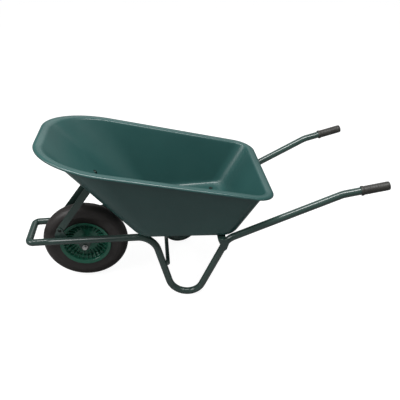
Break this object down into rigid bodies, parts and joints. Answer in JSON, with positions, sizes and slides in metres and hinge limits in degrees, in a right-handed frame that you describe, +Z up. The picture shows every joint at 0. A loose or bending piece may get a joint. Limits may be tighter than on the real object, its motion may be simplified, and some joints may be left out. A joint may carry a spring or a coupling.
{
  "type": "wheelbarrow",
  "caption": "Garden wheelbarrow: moulded tray on a bent-tube frame, with a finned wheel that spins on its axle and a grip on each handle.",
  "frame": {"origin": "on the ground, under the middle of the barrow's bounding box", "axes": "+X to the handles, -X to the wheel, +Z up, -Y the left side of a person holding the handles"},
  "size_m": [1.573, 0.6228, 0.76],
  "materials": {
    "frame_paint": "dark green gloss paint on steel",
    "wheel_plastic": "brighter green moulded plastic",
    "tray_plastic": "dark teal-green moulded plastic",
    "tyre_rubber": "smooth brownish black rubber",
    "butyl_rubber": "black rubber",
    "grip_plastic": "dark grey moulded plastic",
    "zinc_steel": "bright zinc plate",
    "black_zinc": "black zinc plate",
    "nylon": "natural nylon"
  },
  "bodies": {
    "frame": {"axle": "zinc_steel", "axle_bracket_left": "frame_paint", "axle_bracket_right": "frame_paint", "axle_nut_left": "zinc_steel", "axle_nut_right": "zinc_steel", "axle_spacer_left": "zinc_steel", "axle_spacer_right": "zinc_steel", "axle_washer_left": "zinc_steel", "axle_washer_right": "zinc_steel", "bolt_floor_front_left": "black_zinc", "bolt_floor_front_right": "black_zinc", "bolt_floor_rear_left": "black_zinc", "bolt_floor_rear_right": "black_zinc", "bolt_lug_left": "black_zinc", "bolt_lug_right": "black_zinc", "bolt_nose_left": "black_zinc", "bolt_nose_right": "black_zinc", "front_hoop": "frame_paint", "grip_left": "grip_plastic", "grip_right": "grip_plastic", "leg_brace": "frame_paint", "nose_stay_left": "frame_paint", "nose_stay_right": "frame_paint", "nut_floor_front_left": "black_zinc", "nut_floor_front_right": "black_zinc", "nut_floor_rear_left": "black_zinc", "nut_floor_rear_right": "black_zinc", "nut_lug_left": "black_zinc", "nut_lug_right": "black_zinc", "nut_nose_left": "black_zinc", "nut_nose_right": "black_zinc", "rail_left": "frame_paint", "rail_right": "frame_paint", "stay_lug_left": "frame_paint", "stay_lug_right": "frame_paint", "tray": "tray_plastic", "tray_bracket_left": "frame_paint", "tray_bracket_right": "frame_paint", "tray_cross_strap": "frame_paint", "washer_floor_front_left": "black_zinc", "washer_floor_front_right": "black_zinc", "washer_floor_rear_left": "black_zinc", "washer_floor_rear_right": "black_zinc", "washer_nose_left": "black_zinc", "washer_nose_right": "black_zinc"},
    "wheel": {"hub_bush_left": "nylon", "hub_bush_right": "nylon", "inner_tube": "butyl_rubber", "rim": "wheel_plastic", "tyre": "tyre_rubber", "valve_cap": "butyl_rubber", "valve_stem": "butyl_rubber"}
  },
  "joints": [
    {"name": "wheel_spin", "type": "hinge", "parent": "frame", "child": "wheel", "pos_m": [-0.5255, 0, 0.2], "axis": [0, 1, 0], "continuous": true}
  ]
}
